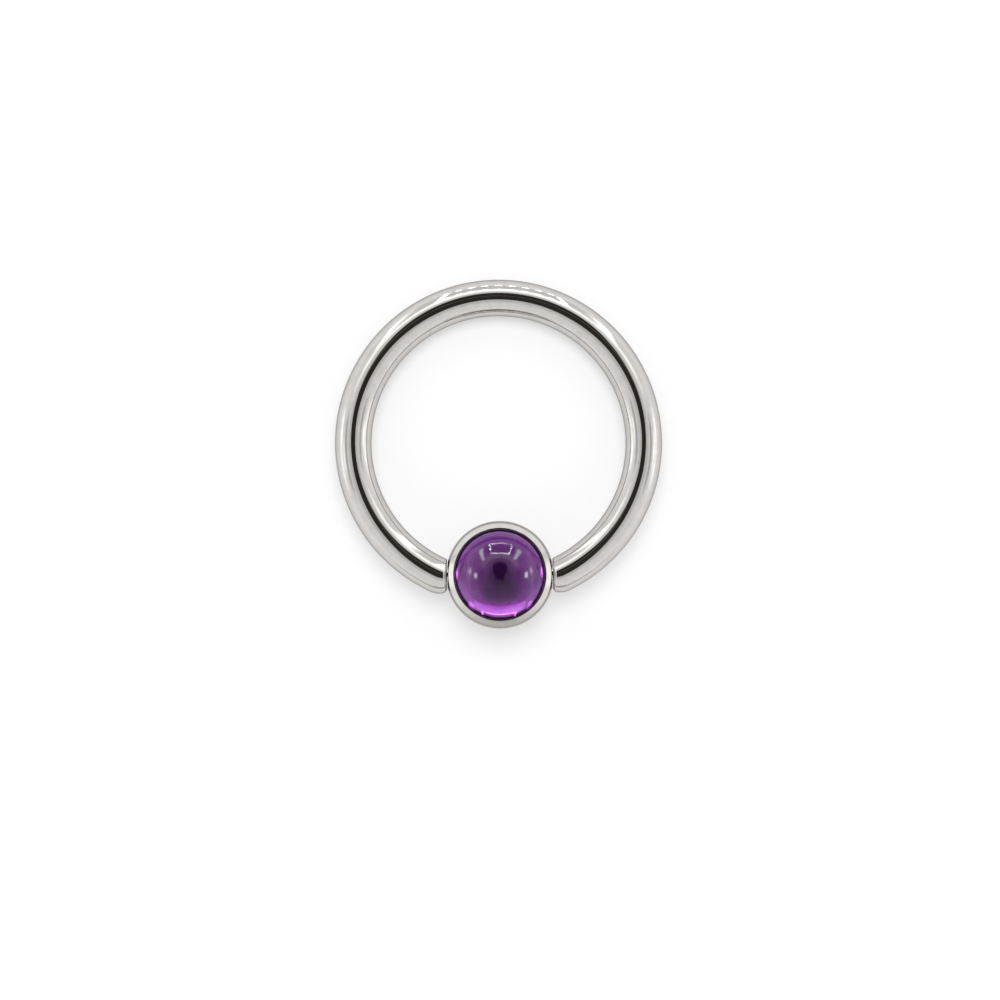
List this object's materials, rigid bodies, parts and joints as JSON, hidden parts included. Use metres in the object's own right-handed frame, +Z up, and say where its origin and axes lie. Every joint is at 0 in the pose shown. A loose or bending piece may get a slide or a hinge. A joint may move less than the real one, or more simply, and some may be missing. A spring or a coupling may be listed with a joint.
{
  "type": "captive bead ring",
  "caption": "Open wire hoop with a swivelling ball bead held between its ends, bezel set with a round purple cabochon.",
  "frame": {"origin": "on the ground under the middle of the ring's outline, as the ring lies by itself", "axes": "+Z up, -Y towards the bead, +X along the bead's swivel axis; the hoop leans a few degrees because it rests on the bead's back and on the far side of the wire"},
  "size_m": [0.0142, 0.0152, 0.0046],
  "materials": {
    "polished_metal": "mirror polished titanium with faint polishing lines",
    "purple_stone": "polished transparent amethyst, deeper purple in the middle and brighter towards one edge"
  },
  "bodies": {
    "ring": {"hoop": "polished_metal"},
    "bead": {"bead_setting": "polished_metal", "cabochon": "purple_stone"}
  },
  "joints": [
    {"name": "bead_swivel", "type": "hinge", "parent": "ring", "child": "bead", "pos_m": [0, -0.00523, 0.00235], "axis": [1, 0, 0], "continuous": true}
  ]
}
